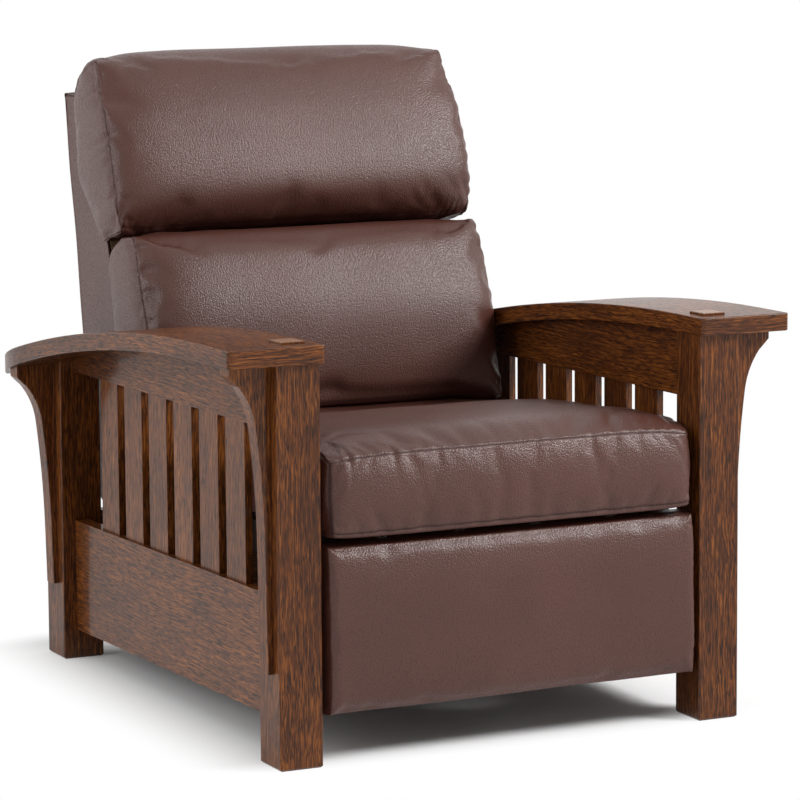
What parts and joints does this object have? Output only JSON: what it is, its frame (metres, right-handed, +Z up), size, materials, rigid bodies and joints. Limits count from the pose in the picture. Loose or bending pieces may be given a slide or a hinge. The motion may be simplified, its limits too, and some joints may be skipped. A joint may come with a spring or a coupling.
{
  "type": "mission reclining armchair",
  "caption": "Mission reclining armchair in stained oak with bent arms, side slats, corbels and leather cushions; the back reclines and a footrest unfolds from under the seat.",
  "frame": {"origin": "on the floor, at the middle of the chair's overall width and depth", "axes": "+X to the right seen from the front, +Y from the front to the back, +Z up"},
  "size_m": [0.861, 0.9276, 0.8999],
  "materials": {
    "stained_oak": "dark brown stain under satin lacquer, open grain",
    "frame_wood": "planed, unfinished",
    "plywood": "sanded plywood",
    "black_steel": "satin black paint on pressed steel",
    "zinc_steel": "zinc plated",
    "spring_steel": "drawn wire, oiled",
    "nylon": "natural nylon",
    "deck_cloth": "non-woven felt",
    "webbing": "woven elastic webbing",
    "leather": "dark brown grained leather, soft satin"
  },
  "bodies": {
    "base": {"front_post_left": "stained_oak", "front_post_right": "stained_oak", "rear_post_left": "stained_oak", "rear_post_right": "stained_oak", "arm_left": "stained_oak", "arm_right": "stained_oak", "top_rail_left": "stained_oak", "top_rail_right": "stained_oak", "bottom_rail_left": "stained_oak", "bottom_rail_right": "stained_oak", "corbel_front_left": "stained_oak", "corbel_front_right": "stained_oak", "corbel_rear_left": "stained_oak", "corbel_rear_right": "stained_oak", "slat_left_1": "stained_oak", "slat_left_2": "stained_oak", "slat_left_3": "stained_oak", "slat_left_4": "stained_oak", "slat_left_5": "stained_oak", "slat_left_6": "stained_oak", "slat_right_1": "stained_oak", "slat_right_2": "stained_oak", "slat_right_3": "stained_oak", "slat_right_4": "stained_oak", "slat_right_5": "stained_oak", "slat_right_6": "stained_oak", "rear_rail": "stained_oak", "cross_rail": "stained_oak", "seat_tracks": "black_steel"},
    "seat": {"seat_side_rails": "frame_wood", "seat_front_rail": "frame_wood", "seat_rear_rail": "frame_wood", "seat_springs": "spring_steel", "spring_clips": "zinc_steel", "seat_deck": "deck_cloth", "seat_cushion": "leather", "seat_hangers": "black_steel", "slide_blocks": "nylon", "pivot_plates": "black_steel", "seat_bolts": "zinc_steel", "seat_pivot_pins": "zinc_steel"},
    "back": {"back_side_panels": "plywood", "back_top_rail": "frame_wood", "back_lumbar_rail": "frame_wood", "back_bottom_rail": "frame_wood", "back_webbing": "webbing", "back_cover": "leather", "back_brackets": "black_steel", "bracket_bolts": "zinc_steel", "lumbar_pillow": "leather", "head_pillow": "leather"},
    "first_link": {"first_links": "black_steel", "torque_tube": "black_steel", "middle_pins": "zinc_steel"},
    "second_link": {"second_links": "black_steel"},
    "footrest": {"footrest_brackets": "black_steel", "footrest_board": "plywood", "footrest_pad": "leather", "footrest_screws": "zinc_steel", "footrest_pins": "zinc_steel"}
  },
  "joints": [
    {"name": "back_recline", "type": "hinge", "parent": "seat", "child": "back", "pos_m": [0, 0.29099, 0.24638], "axis": [-1, 0, 0], "range_deg": [0, 25]},
    {"name": "seat_slide", "type": "slide", "parent": "base", "child": "seat", "axis": [0, -0.9998, 0.0218], "range_m": [0, 0.045]},
    {"name": "footrest_open", "type": "hinge", "parent": "seat", "child": "first_link", "pos_m": [0, -0.34434, 0.23824], "axis": [-1, 0, 0], "range_deg": [0, 131.8]},
    {"name": "footrest_knee", "type": "hinge", "parent": "first_link", "child": "second_link", "pos_m": [0, -0.19847, 0.13278], "axis": [-1, 0, 0], "range_deg": [-98.29, 0]},
    {"name": "footrest_turn", "type": "hinge", "parent": "second_link", "child": "footrest", "pos_m": [0, -0.39596, 0.16434], "axis": [-1, 0, 0], "range_deg": [0, 56.49]}
  ],
  "couplings": [
    {"joint": "seat_slide", "follows": "back_recline", "m_per_rad": 0.10312},
    {"joint": "footrest_knee", "follows": "footrest_open", "ratio": -0.74539},
    {"joint": "footrest_turn", "follows": "footrest_open", "ratio": 0.42819}
  ]
}
